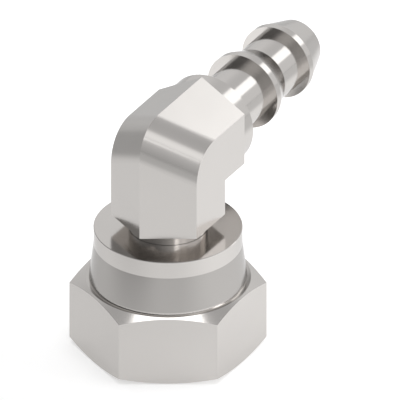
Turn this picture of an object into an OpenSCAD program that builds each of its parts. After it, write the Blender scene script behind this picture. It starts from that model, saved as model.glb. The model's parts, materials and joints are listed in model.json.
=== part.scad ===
// Angled hose nipple: a hexagonal elbow with a two-barb hose tail and a swivelling union nut.
// The origin is the centre of the nut's open end, +Z runs up the nut and +X runs out along the tail.

/* [Union nut] */
// Width across the flats of the nut's hexagon
nut_flats = 19; // [18.6:0.1:24]
// Height of the hexagon
nut_hex_h = 8.45; // [7.8:0.05:12]
// Diameter of the flat circle left by the corner chamfers at both ends of the hexagon
nut_face_d = 18.46; // [17.8:0.02:18.6]
// Slope of the corner chamfer at the top of the hexagon
nut_top_slope = 26; // [15:1:35]
// Slope of the corner chamfer at the open end
nut_bottom_slope = 21; // [15:1:35]

/* [Crimped collar] */
// Diameter where the collar leaves the hexagon
collar_base_d = 17.64; // [17:0.02:17.8]
// Diameter of the crimped band at the top
collar_d = 16.6; // [14:0.1:17]
// Height of the whole collar above the hexagon
collar_h = 6.45; // [5.6:0.05:9]
// Height of the crimped band
band_h = 2; // [0.5:0.1:4]
// Thickness of the lip that holds the stem in
lip_t = 3; // [2:0.1:3.4]
// Edge break round the top of the band
collar_edge = 0.06; // [0.05:0.01:0.4]

/* [Nut thread] */
// Major diameter of the pipe thread, which is the wall of the plain bore
thread_d = 13.157; // [12.6:0.001:14]
// Depth of the thread from the open end
thread_depth = 6.8; // [5:0.1:6.8]
// Lead-in chamfer at the mouth
thread_lead = 0.45; // [0.1:0.05:0.5]
// Width of the run-out groove above the thread
relief_w = 0.8; // [0.4:0.1:1]
// Depth of the run-out groove below the thread's wall
relief_depth = 0.2; // [0.1:0.05:0.4]

/* [Stem] */
// Diameter of the round neck
neck_d = 8.8; // [8:0.02:9.2]
// Diameter of the head that the nut pulls on
head_d = 11.2; // [10.6:0.1:11.6]
// Length of the straight part of the head
head_l = 0.8; // [0.3:0.1:1]
// Diameter of the flat end of the sealing cone
cone_tip_d = 7.8; // [6.8:0.1:9]
// Full angle of the sealing cone
cone_angle = 60; // [60:1:90]
// Bore of the stem
stem_bore = 5; // [3:0.1:5.6]
// Edge break at the mouth of each bore
mouth_edge = 0.3; // [0.1:0.05:0.4]
// Depth of each bore past the point where the two cross
drill_past = 0.5; // [0.2:0.1:1]

/* [Running fits] */
// Gap all round the neck in the lip of the nut
neck_clearance = 0.05; // [0.04:0.01:0.2]
// Gap all round the head in the nut
head_clearance = 0.15; // [0.05:0.01:0.3]
// Gap between the shoulders of the head and the lip
shoulder_gap = 0.08; // [0.03:0.01:0.2]
// Free height between the collar and the elbow
elbow_gap = 1.5; // [0.5:0.1:5]

/* [Elbow] */
// Width across the flats of the hexagonal block
elbow_flats = 11; // [10:0.1:13]
// Length of each leg from the crossing of the axes to its end face
leg_l = 7.5; // [6.8:0.1:12]
// Radius on the two mitred edges of the outer corner
corner_r = 4.8; // [1:0.1:5]

/* [Hose tail] */
// Diameter of the round boss behind the tail
boss_d = 10.98; // [9.2:0.02:10.98]
// Length of the boss past the hexagon
boss_l = 2.05; // [1:0.05:5]
// Edge break on the rim of the boss
boss_edge = 0.1; // [0.05:0.05:0.4]
// Fillet where the tail leaves the boss
root_fillet = 0.4; // [0.1:0.1:1]
// Outside diameter of the tail between the barbs
tail_d = 7; // [6.6:0.1:8]
// Bore of the tail
tail_bore = 4.4; // [2:0.1:4.8]
// Distance from the boss to the first barb
first_barb = 7; // [3:0.05:12]
// Distance from the first barb to the second
barb_pitch = 7.45; // [5:0.05:12]
// Diameter of the barb next to the elbow
barb_1_d = 9; // [8.2:0.1:9.8]
// Diameter of the barb at the tip
barb_2_d = 8.7; // [8.2:0.1:9.8]
// Length of the cylindrical land on each barb
barb_land = 0.82; // [0.3:0.01:1.2]
// Slope of the first barb's front to the axis
barb_1_slope = 20.7; // [15:0.1:40]
// Length of the cone from the second land to the tip
nose_l = 4.03; // [2:0.01:7]
// Diameter of the tail at its tip
nose_d = 6.06; // [5.8:0.02:7]
// Edge break round the outside of the tip
nose_edge = 0.16; // [0.05:0.01:0.25]

/* [Hidden] */
$fn = 96;
over = 1;

// Heights above the open end of the nut
nut_h = nut_hex_h + collar_h;
elbow_foot = nut_h + elbow_gap;
axis_h = elbow_foot + leg_l;
lip_z = nut_h - lip_t;

// The nut
nut_corner_r = nut_flats / sqrt(3);
blank_r = nut_corner_r + over;
face_r = nut_face_d / 2;
thread_r = thread_d / 2;
relief_r = thread_r + relief_depth;
relief_z = thread_depth + relief_w;
hole_r = neck_d / 2 + neck_clearance;
recess_r = head_d / 2 + head_clearance;
recess_z = lip_z - (recess_r - hole_r);

// The stem: its shoulder is parallel to the one in the nut, at 45 degrees
neck_r = neck_d / 2;
head_r = head_d / 2;
shoulder_z = lip_z + hole_r - neck_r - shoulder_gap * sqrt(2);
head_top = shoulder_z - (head_r - neck_r);
head_foot = head_top - head_l;
stem_end = head_foot - (head_r - cone_tip_d / 2) / tan(cone_angle / 2);
stem_bore_r = stem_bore / 2;

// The elbow block
elbow_corner_r = elbow_flats / sqrt(3);
half_turn = acos(0.25) / 2;

// Distances along the tail from the crossing of the axes
boss_end = leg_l + boss_l;
barb_1_x = boss_end + first_barb;
barb_2_x = barb_1_x + barb_pitch;
barb_1_front = barb_1_x + barb_land;
barb_1_end = barb_1_front + (barb_1_d - tail_d) / 2 / tan(barb_1_slope);
barb_2_front = barb_2_x + barb_land;
tip_x = barb_2_front + nose_l;
tail_r = tail_d / 2;
tail_bore_r = tail_bore / 2;

// Half of a drill's point angle
drill_half = 59;

// What an outline encloses both along the upright leg and along the other, so it turns at the mitre
module round_the_corner() {
    reach = 2 * (leg_l + elbow_corner_r);
    intersection() {
        translate([0, 0, -reach])
            linear_extrude(2 * reach)
                children();
        mirror([1, 0, 1])
            translate([0, 0, -reach])
                linear_extrude(2 * reach)
                    children();
    }
}

// The space inside the outer faces of both legs
module inside_outer_faces() {
    reach = leg_l + over;
    half_w = (reach + elbow_corner_r) * sqrt(3);
    round_the_corner()
        polygon([[-elbow_corner_r, 0], [reach, -half_w], [reach, half_w]]);
}

// The notch between the legs, bounded by their inner faces
module inner_notch() {
    reach = leg_l + over;
    half_w = elbow_flats / 2 + over;
    side_x = elbow_corner_r - half_w / sqrt(3);
    round_the_corner()
        polygon([
            [elbow_corner_r, 0],
            [side_x, half_w],
            [reach, half_w],
            [reach, -half_w],
            [side_x, -half_w],
        ]);
}

// What the rounding takes off one mitred edge, drawn across the edge with the edge at the origin
module edge_waste() {
    centre = -corner_r / cos(half_turn);
    normal = [cos(half_turn), sin(half_turn)];
    touch = [centre, 0] + corner_r * normal;
    difference() {
        polygon([
            touch,
            touch + over * normal,
            [2 * over, 0],
            [touch[0] + over * normal[0], -touch[1] - over * normal[1]],
            [touch[0], -touch[1]],
        ]);
        translate([centre, 0])
            circle(r = corner_r);
    }
}

// The rounding of the mitred edge on the side of -Y, from above the corner down past the flats
module edge_rounding() {
    out = [-sqrt(3), -2, sqrt(3)] / sqrt(10);
    along = [sqrt(3), -3, -sqrt(3)] / sqrt(15);
    side = cross(along, out);
    reach = 2 * elbow_flats;
    // The columns are the way out of the corner, the way across the edge and the way along it
    multmatrix([
        [out[0], side[0], along[0], -elbow_corner_r],
        [out[1], side[1], along[1], 0],
        [out[2], side[2], along[2], elbow_corner_r],
        [0, 0, 0, 1],
    ])
        translate([0, 0, -reach / 4])
            linear_extrude(reach)
                edge_waste();
}

// Two hexagonal legs cut from one block, with the outer corner rounded
module elbow_block() {
    block_l = leg_l + elbow_corner_r + over;
    difference() {
        intersection() {
            translate([leg_l - block_l, -elbow_flats / 2, -leg_l])
                cube([block_l, elbow_flats, block_l]);
            inside_outer_faces();
        }
        inner_notch();
        edge_rounding();
        mirror([0, 1, 0])
            edge_rounding();
    }
}

// Half the section of the boss, the barbs and the tip
module tail_section() {
    polygon([
        [0, leg_l - over],
        [boss_d / 2, leg_l - over],
        [boss_d / 2, boss_end - boss_edge],
        [boss_d / 2 - boss_edge, boss_end],
        [tail_r, boss_end],
        [tail_r, barb_1_x],
        [barb_1_d / 2, barb_1_x],
        [barb_1_d / 2, barb_1_front],
        [tail_r, barb_1_end],
        [tail_r, barb_2_x],
        [barb_2_d / 2, barb_2_x],
        [barb_2_d / 2, barb_2_front],
        [nose_d / 2, tip_x - nose_edge],
        [nose_d / 2 - nose_edge, tip_x],
        [0, tip_x],
    ]);
    difference() {
        translate([0, leg_l])
            square([tail_r + root_fillet, boss_l + root_fillet]);
        translate([tail_r + root_fillet, boss_end + root_fillet])
            circle(r = root_fillet);
    }
}

// The tail, turned about its own axis
module hose_tail() {
    rotate([0, 90, 0])
        rotate_extrude()
            tail_section();
}

// The neck, the head and the sealing cone, turned about the nut's axis
module stem() {
    rotate_extrude()
        polygon([
            [0, stem_end],
            [cone_tip_d / 2, stem_end],
            [head_r, head_foot],
            [head_r, head_top],
            [neck_r, shoulder_z],
            [neck_r, elbow_foot + over],
            [0, elbow_foot + over],
        ]);
}

// A drilled hole along +Z with a broken edge at its mouth, which is at the origin
module drilled(r, depth) {
    rotate_extrude()
        polygon([
            [0, -over],
            [r + mouth_edge + over, -over],
            [r, mouth_edge],
            [r, depth],
            [0, depth + r / tan(drill_half)],
        ]);
}

module elbow_nipple() {
    color([0.78, 0.77, 0.75])
        difference() {
            union() {
                translate([0, 0, axis_h]) {
                    elbow_block();
                    hose_tail();
                }
                stem();
            }
            translate([0, 0, stem_end])
                drilled(stem_bore_r, axis_h - stem_end + drill_past);
            translate([tip_x, 0, axis_h])
                rotate([0, -90, 0])
                    drilled(tail_bore_r, tip_x + drill_past);
        }
}

// The hexagon with its corners turned off at both ends
module nut_hexagon() {
    bottom_rise = (blank_r - face_r) * tan(nut_bottom_slope);
    top_drop = (blank_r - face_r) * tan(nut_top_slope);
    intersection() {
        cylinder(r = nut_corner_r, h = nut_hex_h, $fn = 6);
        rotate_extrude()
            polygon([
                [0, 0],
                [face_r, 0],
                [blank_r, bottom_rise],
                [blank_r, nut_hex_h - top_drop],
                [face_r, nut_hex_h],
                [0, nut_hex_h],
            ]);
    }
}

module nut_collar() {
    rotate_extrude()
        polygon([
            [0, nut_hex_h - over],
            [collar_base_d / 2, nut_hex_h - over],
            [collar_base_d / 2, nut_hex_h],
            [collar_d / 2, nut_h - band_h],
            [collar_d / 2, nut_h - collar_edge],
            [collar_d / 2 - collar_edge, nut_h],
            [0, nut_h],
        ]);
}

// The inside of the nut: lead-in, thread, run-out, recess for the head, shoulder and lip
module nut_inside() {
    rotate_extrude()
        polygon([
            [0, -over],
            [thread_r + thread_lead + over, -over],
            [thread_r, thread_lead],
            [thread_r, thread_depth],
            [relief_r, thread_depth],
            [relief_r, relief_z],
            [recess_r, relief_z],
            [recess_r, recess_z],
            [hole_r, lip_z],
            [hole_r, nut_h + over],
            [0, nut_h + over],
        ]);
}

module swivel_nut() {
    color([0.76, 0.75, 0.73])
        difference() {
            union() {
                nut_hexagon();
                nut_collar();
            }
            nut_inside();
        }
}

elbow_nipple();
swivel_nut();
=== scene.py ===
import json
import math

import bpy
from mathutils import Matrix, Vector


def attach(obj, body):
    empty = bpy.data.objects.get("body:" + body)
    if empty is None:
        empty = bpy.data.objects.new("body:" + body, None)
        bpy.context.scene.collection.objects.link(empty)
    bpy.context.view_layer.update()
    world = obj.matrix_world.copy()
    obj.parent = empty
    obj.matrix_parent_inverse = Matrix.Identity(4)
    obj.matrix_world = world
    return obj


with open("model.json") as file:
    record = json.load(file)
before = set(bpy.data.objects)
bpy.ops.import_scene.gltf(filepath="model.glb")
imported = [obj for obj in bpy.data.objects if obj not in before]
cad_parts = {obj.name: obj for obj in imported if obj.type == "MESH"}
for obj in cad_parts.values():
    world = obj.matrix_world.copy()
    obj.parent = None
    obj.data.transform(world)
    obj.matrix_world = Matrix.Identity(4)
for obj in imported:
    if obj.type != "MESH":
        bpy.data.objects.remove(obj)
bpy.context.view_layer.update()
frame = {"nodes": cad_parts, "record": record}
scene = bpy.context.scene
mounts = {mount["name"]: mount for mount in frame["record"]["mounts"]}
print("frame loaded:", ", ".join(sorted(frame["nodes"])))


# Small helpers for node trees

def addNode(tree, kind, inputs=None, **settings):
    node = tree.nodes.new(kind)
    for name, value in settings.items():
        setattr(node, name, value)
    for key, value in (inputs or {}).items():
        if isinstance(value, bpy.types.NodeSocket):
            tree.links.new(value, node.inputs[key])
        else:
            node.inputs[key].default_value = value
    return node


def calc(tree, operation, first, second=0.0, third=0.0, clamp=False):
    node = addNode(tree, "ShaderNodeMath", {0: first, 1: second, 2: third},
                   operation=operation, use_clamp=clamp)
    return node.outputs[0]


def between(tree, value, low, high, toLow=0.0, toHigh=1.0):
    # a value taken smoothly from one range to another
    node = addNode(tree, "ShaderNodeMapRange",
                   {"Value": value, "From Min": low, "From Max": high, "To Min": toLow, "To Max": toHigh},
                   interpolation_type="SMOOTHSTEP")
    return node.outputs["Result"]


def seenRays(tree):
    # 1 for rays that show the surroundings: straight, mirrored or through glass
    path = addNode(tree, "ShaderNodeLightPath")
    shown = calc(tree, "MAXIMUM", path.outputs["Is Camera Ray"], path.outputs["Is Glossy Ray"])
    return calc(tree, "MAXIMUM", shown, path.outputs["Is Transmission Ray"])


# Camera: the photograph's parallel view, with the crossing of the elbow's axes at its pixel

view = {
    "azimuth": -60.0,            # degrees, 0 looks along +Y
    "elevation": 30.0,
    "pixelsPerMm": 8.99,
    "imagePixels": 400,
    "crossingPixel": (168.03, 155.68),
    "distance": 0.3,
    "clip": (0.001, 10.0),
}


def makeCamera():
    turn, tilt = math.radians(view["azimuth"]), math.radians(view["elevation"])
    back = Vector((math.sin(turn) * math.cos(tilt), -math.cos(turn) * math.cos(tilt), math.sin(tilt)))
    right = Vector((math.cos(turn), math.sin(turn), 0.0))
    up = back.cross(right)
    pixelsPerMetre = view["pixelsPerMm"] * 1000
    middle = view["imagePixels"] / 2
    crossing = Vector((0.0, 0.0, mounts["hose_barb"]["pos_m"][2]))
    centre = (crossing
              + right * (middle - view["crossingPixel"][0]) / pixelsPerMetre
              - up * (middle - view["crossingPixel"][1]) / pixelsPerMetre)
    data = bpy.data.cameras.new("photoCamera")
    data.type = "ORTHO"
    data.ortho_scale = view["imagePixels"] / pixelsPerMetre
    data.clip_start, data.clip_end = view["clip"]
    camera = bpy.data.objects.new("photoCamera", data)
    camera.location = centre + back * view["distance"]
    camera.rotation_euler = (-back).to_track_quat("-Z", "Y").to_euler()
    scene.collection.objects.link(camera)
    scene.camera = camera


makeCamera()
print("camera set")


# Studio: a white floor with a painted pool of light and painted shade, soft grey surroundings and soft
# boxes

# Sides are in degrees round the vertical, and lengths are in metres.
studio = {
    "floorSize": 4.0,
    "floorDrop": 0.00003,        # keeps the floor just clear of the nut's face
    "floorColour": (0.8, 0.8, 0.8, 1.0),
    "floorLift": 0.52,           # added for the rays that show the floor, so it renders white
    "floorSlope": 0.13,          # painted light: how much more or less of it there is on the two sides
    "floorLightSide": -24.0,
    "slopeReach": 0.02,          # from the middle to where the slope ends
    "poolCentre": (0.0145, 0.0049, 0.0),    # the floor is white in an oval painted pool of light round this point
    "poolTurn": 30.0,            # the side that the oval's end points to
    "poolStretch": 1.4,          # its length over its width
    "poolEdge": (0.043, 0.08),   # from its middle, across it, to where it fades and ends
    "farFloor": (0.67, 0.54),    # painted shade: brightness left outside the pool, and at its dim side
    "dimSide": 100.0,
    "dimSector": (0.85, 0.97),   # cosines of the angle from the dim side, where it starts and is full
    "dimPlace": (-0.065, 0.032, 0.0),    # middle of a soft painted shadow
    "dimReach": (0.02, 0.055),   # from its middle, to where it fades and ends
    "dimShare": 0.72,            # brightness left in that painted shadow
    "skyShades": (0.97, 0.6),    # brightness of the surroundings, low down and high up
    "skyHeights": (0.5, 0.85),   # sines of the elevation between which it changes
    "darkSide": 150.0,
    "darkSector": (-0.4, 0.95),  # cosines of the angle from the dark side, where it starts and is full
    "darkHeights": (0.7, 0.52),  # sines of the elevation, where it starts and is full
    "darkShare": 0.85,           # how much of the brightness is missing there
    "glowPlace": (-105.0, 38.0),    # a soft brighter patch: its side and its elevation
    "glowReach": (14.0, 4.0),    # degrees from its middle to where it starts and is full
    "glow": 0.5,
    "skyFill": 0.5,              # light that all of it gives to matt surfaces
    "lampDistance": 0.6,
}

# Side and elevation in degrees, width and height in metres, and brightness of the lit oval
softBoxes = {
    "overhead": {"place": (0.0, 90.0), "size": (0.45, 0.45), "glow": 2.3},
    "rear": {"place": (-24.7, 33.0), "size": (0.233, 0.233), "glow": 1.1},
    "side": {"place": (-75.0, 12.0), "size": (0.24, 0.24), "glow": 3.0},
    "front": {"place": (-124.5, 32.0), "size": (0.137, 0.073), "glow": 1.7},
}
white = (1.0, 1.0, 1.0, 1.0)


def pointing(azimuth, elevation):
    turn, tilt = math.radians(azimuth), math.radians(elevation)
    return Vector((math.cos(turn) * math.cos(tilt), math.sin(turn) * math.cos(tilt), math.sin(tilt)))


def towards(tree, vector, azimuth, elevation=0.0):
    # how far a vector reaches towards one side
    node = addNode(tree, "ShaderNodeVectorMath", {0: vector, 1: pointing(azimuth, elevation)},
                   operation="DOT_PRODUCT")
    return node.outputs["Value"]


def makeWorld():
    # paler low down than overhead, with one dark side and one soft glow
    world = bpy.data.worlds.new("studioWorld")
    scene.world = world
    world.use_nodes = True
    tree = world.node_tree
    tree.nodes.clear()
    direction = addNode(tree, "ShaderNodeTexCoord").outputs["Generated"]
    height = addNode(tree, "ShaderNodeSeparateXYZ", {0: direction}).outputs["Z"]
    plain = between(tree, height, *studio["skyHeights"], *studio["skyShades"])
    start, full = (math.cos(math.radians(reach)) for reach in studio["glowReach"])
    patch = between(tree, towards(tree, direction, *studio["glowPlace"]),
                    start, full, 0.0, studio["glow"])
    side = between(tree, towards(tree, direction, studio["darkSide"]), *studio["darkSector"])
    low = between(tree, height, *studio["darkHeights"], 0.0, studio["darkShare"])
    light = calc(tree, "SUBTRACT", 1.0, calc(tree, "MULTIPLY", side, low))
    shade = calc(tree, "MULTIPLY_ADD", plain, light, patch)
    shown = addNode(tree, "ShaderNodeBackground", {"Color": white, "Strength": shade})
    fill = addNode(tree, "ShaderNodeBackground", {"Color": white, "Strength": studio["skyFill"]})
    mix = addNode(tree, "ShaderNodeMixShader",
                  {0: seenRays(tree), 1: fill.outputs[0], 2: shown.outputs[0]})
    addNode(tree, "ShaderNodeOutputWorld", {"Surface": mix.outputs[0]})


def makeFloor():
    # white in an oval painted pool of light round the part, with painted shade outside it and a painted
    # shadow in one soft patch
    half, drop = studio["floorSize"] / 2, studio["floorDrop"]
    corners = [(-half, -half, -drop), (half, -half, -drop), (half, half, -drop), (-half, half, -drop)]
    mesh = bpy.data.meshes.new("studioFloor")
    mesh.from_pydata(corners, [], [(0, 1, 2, 3)])
    floor = bpy.data.objects.new("studioFloor", mesh)
    scene.collection.objects.link(floor)
    material = bpy.data.materials.new("floorWhite")
    material.use_nodes = True
    tree = material.node_tree
    tree.nodes.clear()
    place = addNode(tree, "ShaderNodeTexCoord").outputs["Object"]
    # painted pool of light round the part, with painted shade outside it
    inPool = addNode(tree, "ShaderNodeMapping", {
        "Vector": place, "Location": studio["poolCentre"],
        "Rotation": (0.0, 0.0, math.radians(studio["poolTurn"])),
        "Scale": (studio["poolStretch"], 1.0, 1.0)}, vector_type="TEXTURE").outputs[0]
    fromPool = addNode(tree, "ShaderNodeVectorMath", {0: inPool}, operation="LENGTH").outputs["Value"]
    heading = addNode(tree, "ShaderNodeVectorMath", {0: place}, operation="NORMALIZE").outputs[0]
    outside = between(tree, towards(tree, heading, studio["dimSide"]),
                      *studio["dimSector"], *studio["farFloor"])
    # a painted shadow in one soft patch
    fromDim = addNode(tree, "ShaderNodeVectorMath", {0: place, 1: studio["dimPlace"]},
                      operation="DISTANCE").outputs["Value"]
    far = calc(tree, "MULTIPLY", between(tree, fromPool, *studio["poolEdge"], 1.0, outside),
               between(tree, fromDim, *studio["dimReach"], studio["dimShare"], 1.0))
    colour = addNode(tree, "ShaderNodeVectorMath",
                     {0: studio["floorColour"][:3], 1: far}, operation="MULTIPLY").outputs[0]
    matt = addNode(tree, "ShaderNodeBsdfDiffuse", {"Color": colour})
    # painted light: the lift is brighter towards one side
    least, most = studio["floorLift"] - studio["floorSlope"], studio["floorLift"] + studio["floorSlope"]
    slope = between(tree, towards(tree, place, studio["floorLightSide"]),
                    -studio["slopeReach"], studio["slopeReach"], least, most)
    lift = calc(tree, "MULTIPLY", seenRays(tree), calc(tree, "MULTIPLY", slope, far))
    glow = addNode(tree, "ShaderNodeEmission", {"Color": white, "Strength": lift})
    both = addNode(tree, "ShaderNodeAddShader", {0: matt.outputs[0], 1: glow.outputs[0]})
    clear = addNode(tree, "ShaderNodeBsdfTransparent")
    behind = addNode(tree, "ShaderNodeNewGeometry").outputs["Backfacing"]    # see-through from below
    face = addNode(tree, "ShaderNodeMixShader", {0: behind, 1: both.outputs[0], 2: clear.outputs[0]})
    addNode(tree, "ShaderNodeOutputMaterial", {"Surface": face.outputs[0]})
    mesh.materials.append(material)


def makeSoftBox(name, box):
    away = pointing(*box["place"])
    data = bpy.data.lights.new(name + "Box", "AREA")
    data.shape = "ELLIPSE"
    data.size, data.size_y = box["size"]
    area = math.pi / 4 * data.size * data.size_y
    data.energy = box["glow"] * math.pi * area    # watts for that surface brightness
    lamp = bpy.data.objects.new(name + "Box", data)
    lamp.location = away * studio["lampDistance"]
    lamp.rotation_euler = away.to_track_quat("Z", "Y").to_euler()
    lamp.visible_camera = False
    scene.collection.objects.link(lamp)


makeWorld()
makeFloor()
for boxName, box in softBoxes.items():
    makeSoftBox(boxName, box)
scene.view_settings.view_transform = "Standard"
print("studio set")


# Bright machined steel. Turned surfaces carry fine rings round their axis, and the flats carry
# faint streaks along the bar that they were cut from.

# Some parts of the steel have painted shade or painted light multiplied into their colour.
steel = {
    "colour": (0.55, 0.53, 0.512),
    "edgeTint": (0.8, 0.8, 0.8, 1.0),     # below white it brightens less where seen at a slant
    "conePaintedShading": 0.7,             # these multiply the colour with painted shade and light: painted shade on the collar's cone
    "coneFootPaintedHighlight": 1.6,         # a painted highlight along its lowest edge
    "ledgePaintedShade": 0.9,            # painted shade on the narrow flat round the collar's foot
    "lipPaintedLight": 1.02,             # painted light on the top of the nut
    "stemPaintedLight": 1.35,            # painted light on the neck and the elbow's foot
    "shoulderPaintedLight": 1.4,         # painted light on the flat shoulders of the barbs
    "shadeChange": 0.025,        # share by which the colour wanders
    "roughness": 0.15,
    "roughnessChange": 0.03,
    "cloudSize": 0.005,          # metres, slow changes of the finish
    "ringSize": 0.00016,         # spacing of the rings that the turning tool left
    "ringDepth": 0.0000006,
    "streakSize": 0.0003,        # width of the streaks on the flats
    "streakLength": 0.012,
    "streakDepth": 0.0000004,
    "streakDetail": 3.0,         # how much finer streaks lie in the wide ones
}

# Where one finish or painted shade gives way to another: metres above the nut's face, or out along the
# tail
turnedParts = {
    "hexagonTop": 0.00845,       # the nut is turned above this height
    "coneFoot": 0.00879,         # the cone's lowest edge ends here
    "coneTop": 0.0129,           # where the cone meets the crimped band
    "nutTop": 0.0149,
    "nutFace": 0.00923,          # the nut is also turned inside this radius
    "elbowFoot": 0.0164,         # the stem is turned below this height
    "elbowEnd": 0.0075,          # the tail is turned beyond this distance
    "shoulders": (0.01655, 0.024),    # distances of the barbs' shoulders
    "edge": 0.00001,             # how near to such a place a point counts as on it
}


def noise(tree, vector, size, detail=2.0):
    # from -0.5 to 0.5
    node = addNode(tree, "ShaderNodeTexNoise", {"Vector": vector, "Scale": 1.0 / size, "Detail": detail})
    return calc(tree, "SUBTRACT", node.outputs[0], 0.5)


def radiusFrom(tree, first, second):
    square = calc(tree, "MULTIPLY_ADD", first, first, calc(tree, "MULTIPLY", second, second))
    return calc(tree, "SQRT", square)


def rings(tree, radius, along):
    # the same all the way round: it depends only on the radius and the place along the axis
    place = addNode(tree, "ShaderNodeCombineXYZ", {"X": radius, "Y": along}).outputs[0]
    return noise(tree, place, steel["ringSize"])


def streaks(tree, place, stretch):
    squeezed = addNode(tree, "ShaderNodeVectorMath", {0: place, 1: stretch}, operation="MULTIPLY")
    return noise(tree, squeezed.outputs[0], steel["streakSize"], steel["streakDetail"])


def makeSteel(name, marks, paintedShading):
    material = bpy.data.materials.new(name)
    material.use_nodes = True
    tree = material.node_tree
    tree.nodes.clear()
    place = addNode(tree, "ShaderNodeTexCoord").outputs["Object"]
    height, slow = marks(tree, place), noise(tree, place, steel["cloudSize"])
    shade = calc(tree, "MULTIPLY_ADD", slow, 2 * steel["shadeChange"], 1.0)
    # the painted shade and painted light of each part, multiplied into the colour
    shade = calc(tree, "MULTIPLY", shade, paintedShading(tree, place))
    colour = addNode(tree, "ShaderNodeVectorMath", {0: steel["colour"], 1: shade}, operation="MULTIPLY")
    rough = calc(tree, "MULTIPLY_ADD", slow, 2 * steel["roughnessChange"], steel["roughness"])
    bump = addNode(tree, "ShaderNodeBump", {"Height": height, "Distance": 1.0, "Strength": 1.0})
    shader = addNode(tree, "ShaderNodeBsdfPrincipled", {
        "Base Color": colour.outputs[0],
        "Metallic": 1.0,
        "Specular Tint": steel["edgeTint"],
        "Roughness": rough,
        "Normal": bump.outputs[0],
    })
    addNode(tree, "ShaderNodeOutputMaterial", {"Surface": shader.outputs[0]})
    return material


def nutMarks(tree, place):
    # rings where the nut was turned, and streaks down its flats
    x, y, z = addNode(tree, "ShaderNodeSeparateXYZ", {0: place}).outputs
    radius = radiusFrom(tree, x, y)
    above = calc(tree, "GREATER_THAN", z, turnedParts["hexagonTop"])
    inside = calc(tree, "LESS_THAN", radius, turnedParts["nutFace"])
    turned = calc(tree, "MAXIMUM", above, inside)
    flats = calc(tree, "SUBTRACT", 1.0, turned)
    drawn = streaks(tree, place, (1.0, 1.0, steel["streakSize"] / steel["streakLength"]))
    grooves = calc(tree, "MULTIPLY", rings(tree, radius, z), steel["ringDepth"])
    marks = calc(tree, "MULTIPLY", turned, grooves)
    return calc(tree, "MULTIPLY_ADD", flats, calc(tree, "MULTIPLY", drawn, steel["streakDepth"]), marks)


def nippleMarks(tree, place):
    # streaks on the hexagonal block, and rings on the tail and on the stem
    x, y, z = addNode(tree, "ShaderNodeSeparateXYZ", {0: place}).outputs
    up = calc(tree, "SUBTRACT", z, mounts["hose_barb"]["pos_m"][2])    # above the tail's axis
    tail = calc(tree, "GREATER_THAN", x, turnedParts["elbowEnd"])
    stem = calc(tree, "LESS_THAN", z, turnedParts["elbowFoot"])
    block = calc(tree, "SUBTRACT", 1.0, calc(tree, "MAXIMUM", tail, stem))
    milled = streaks(tree, place, (1.0, steel["streakSize"] / steel["streakLength"], 1.0))
    marks = calc(tree, "MULTIPLY", block, calc(tree, "MULTIPLY", milled, steel["streakDepth"]))
    for part, radius, along in ((tail, radiusFrom(tree, y, up), x), (stem, radiusFrom(tree, x, y), z)):
        grooves = calc(tree, "MULTIPLY", rings(tree, radius, along), steel["ringDepth"])
        marks = calc(tree, "MULTIPLY_ADD", part, grooves, marks)
    return marks


def nutPaintedShading(tree, place):
    # painted shade on the cone between the hexagon and the crimped band, with a painted highlight along
    # its lowest edge, painted shade on the ledge at its foot, and painted light on the top
    height = addNode(tree, "ShaderNodeSeparateXYZ", {0: place}).outputs["Z"]
    above = calc(tree, "GREATER_THAN", height, turnedParts["hexagonTop"] + turnedParts["edge"])
    below = calc(tree, "LESS_THAN", height, turnedParts["coneTop"])
    # painted shade on the cone, rising to a painted highlight along its lowest edge
    conePaintedShading = between(tree, height, turnedParts["hexagonTop"], turnedParts["coneFoot"],
                       steel["coneFootPaintedHighlight"] - 1.0, steel["conePaintedShading"] - 1.0)
    cone = calc(tree, "MULTIPLY_ADD", calc(tree, "MULTIPLY", above, below), conePaintedShading, 1.0)
    # painted light on the top of the nut
    top = calc(tree, "GREATER_THAN", height, turnedParts["nutTop"] - turnedParts["edge"])
    # painted shade on the ledge round the collar's foot
    ledge = calc(tree, "COMPARE", height, turnedParts["hexagonTop"], turnedParts["edge"])
    shade = calc(tree, "MULTIPLY_ADD", top, steel["lipPaintedLight"] - 1.0, cone)
    return calc(tree, "MULTIPLY_ADD", ledge, steel["ledgePaintedShade"] - 1.0, shade)


def nipplePaintedShading(tree, place):
    # painted light on the neck and the elbow's foot, and on the flat shoulders of the barbs
    axes = addNode(tree, "ShaderNodeSeparateXYZ", {0: place}).outputs
    along, height = axes["X"], axes["Z"]
    # painted light on the neck and the elbow's foot
    stem = calc(tree, "LESS_THAN", height, turnedParts["elbowFoot"] + turnedParts["edge"])
    shade = calc(tree, "MULTIPLY_ADD", stem, steel["stemPaintedLight"] - 1.0, 1.0)
    # painted light on the flat shoulders of the barbs
    for shoulder in turnedParts["shoulders"]:
        flat = calc(tree, "COMPARE", along, shoulder, turnedParts["edge"])
        shade = calc(tree, "MULTIPLY_ADD", flat, steel["shoulderPaintedLight"] - 1.0, shade)
    return shade


nippleSteel = makeSteel("nippleSteel", nippleMarks, nipplePaintedShading)
nutSteel = makeSteel("nutSteel", nutMarks, nutPaintedShading)
frame["nodes"]["elbow_nipple"].material_slots[0].material = nippleSteel
frame["nodes"]["swivel_nut"].material_slots[0].material = nutSteel
print("steel finished")


# Pipe thread inside the nut: one ridge that climbs the plain wall as a right-hand helix

thread = {
    "pitch": 0.001337,           # metres, as are all lengths here
    "ridgeHeight": 0.000856,
    "footWidth": 0.00118,
    "crestWidth": 0.00042,
    "crestRadius": 0.00012,
    "crestPoints": 4,            # points on each rounded edge of the ridge
    "sunk": 0.00004,             # how far the foot lies inside the nut's wall
    "bottom": 0.00055,
    "top": 0.00672,
    "fadeTurns": 0.6,            # length of the run-in and of the run-out
    "fadeEnd": 0.02,             # scale of the ridge at its very ends
    "pointsPerTurn": 72,
}


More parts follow.
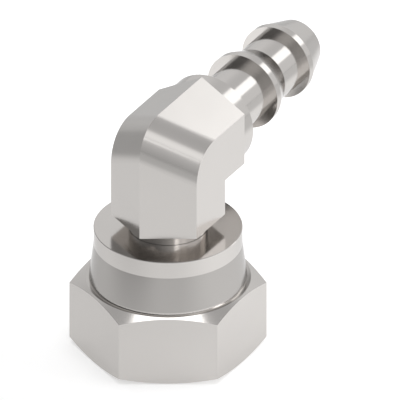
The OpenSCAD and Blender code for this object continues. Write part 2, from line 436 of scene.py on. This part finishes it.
def threadTree(labels):
    tree = bpy.data.node_groups.new("threadRidge", "GeometryNodeTree")
    sockets = tree.interface
    kinds = {"Crest Points": "NodeSocketInt", "Points Per Turn": "NodeSocketInt",
             "Material": "NodeSocketMaterial"}
    for label in labels:
        sockets.new_socket(label, in_out="INPUT", socket_type=kinds.get(label, "NodeSocketFloat"))
    sockets.new_socket("Geometry", in_out="OUTPUT", socket_type="NodeSocketGeometry")
    given = addNode(tree, "NodeGroupInput").outputs
    length = calc(tree, "SUBTRACT", given["Top"], given["Bottom"])
    turns = calc(tree, "DIVIDE", length, given["Pitch"])
    helix = addNode(tree, "GeometryNodeCurveSpiral", {
        "Resolution": given["Points Per Turn"], "Rotations": turns,
        "Start Radius": given["Wall Radius"], "End Radius": given["Wall Radius"], "Height": length})
    upright = addNode(tree, "GeometryNodeSetCurveNormal", {"Curve": helix.outputs[0]}, mode="Z_UP")
    section = addNode(tree, "GeometryNodeCurvePrimitiveQuadrilateral", {
        "Height": given["Ridge Height"], "Bottom Width": given["Foot Width"],
        "Top Width": given["Crest Width"], "Offset": 0.0}, mode="TRAPEZOID")
    halfHeight = calc(tree, "MULTIPLY", given["Ridge Height"], 0.5)
    onWall = addNode(tree, "ShaderNodeCombineXYZ", {"X": halfHeight})
    turnedSection = addNode(tree, "GeometryNodeTransform", {
        "Geometry": section.outputs[0], "Translation": onWall.outputs[0],
        "Rotation": (0.0, 0.0, -math.pi / 2)})    # crest towards the axis
    roundedSection = addNode(tree, "GeometryNodeFilletCurve", {
        "Curve": turnedSection.outputs[0], "Count": given["Crest Points"],
        "Radius": given["Crest Radius"], "Limit Radius": True}, mode="POLY")
    factor = addNode(tree, "GeometryNodeSplineParameter").outputs["Factor"]
    fromStart = calc(tree, "MULTIPLY", factor, turns)
    fromEnd = calc(tree, "SUBTRACT", turns, fromStart)
    nearest = calc(tree, "MINIMUM", fromStart, fromEnd)
    fade = calc(tree, "DIVIDE", nearest, given["Fade Turns"], clamp=True)
    ridge = addNode(tree, "GeometryNodeCurveToMesh", {
        "Curve": upright.outputs[0], "Profile Curve": roundedSection.outputs[0],
        "Scale": calc(tree, "MAXIMUM", fade, given["Fade End"]), "Fill Caps": True})
    lifted = addNode(tree, "GeometryNodeTransform", {
        "Geometry": ridge.outputs[0],
        "Translation": addNode(tree, "ShaderNodeCombineXYZ", {"Z": given["Bottom"]}).outputs[0]})
    smooth = addNode(tree, "GeometryNodeSetShadeSmooth", {"Geometry": lifted.outputs[0]})
    real = addNode(tree, "GeometryNodeRealizeInstances", {"Geometry": smooth.outputs[0]})
    dressed = addNode(tree, "GeometryNodeSetMaterial", {
        "Geometry": real.outputs[0], "Material": given["Material"]})
    addNode(tree, "NodeGroupOutput", {"Geometry": dressed.outputs[0]})
    return tree


def makeThread():
    holder = bpy.data.objects.new("nut_thread_ridge", bpy.data.meshes.new("nut_thread_ridge"))
    scene.collection.objects.link(holder)
    values = {
        "Wall Radius": mounts["nut_thread"]["dims"]["r_mm"] / 1000 + thread["sunk"],
        "Pitch": thread["pitch"],
        "Bottom": thread["bottom"],
        "Top": thread["top"],
        "Ridge Height": thread["ridgeHeight"] + thread["sunk"],
        "Foot Width": thread["footWidth"],
        "Crest Width": thread["crestWidth"],
        "Crest Radius": thread["crestRadius"],
        "Crest Points": thread["crestPoints"],
        "Fade Turns": thread["fadeTurns"],
        "Fade End": thread["fadeEnd"],
        "Points Per Turn": thread["pointsPerTurn"],
        "Material": nutSteel,
    }
    modifier = holder.modifiers.new("threadRidge", "NODES")
    modifier.node_group = threadTree(values)
    for socket in modifier.node_group.interface.items_tree:
        if socket.name in values:
            modifier[socket.identifier] = values[socket.name]
    baked = bpy.data.meshes.new_from_object(holder.evaluated_get(bpy.context.evaluated_depsgraph_get()))
    holder.modifiers.remove(modifier)
    holder.data = baked
    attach(holder, "nut")
    return holder


threadRidge = makeThread()
print("thread ridge:", len(threadRidge.data.polygons), "faces")
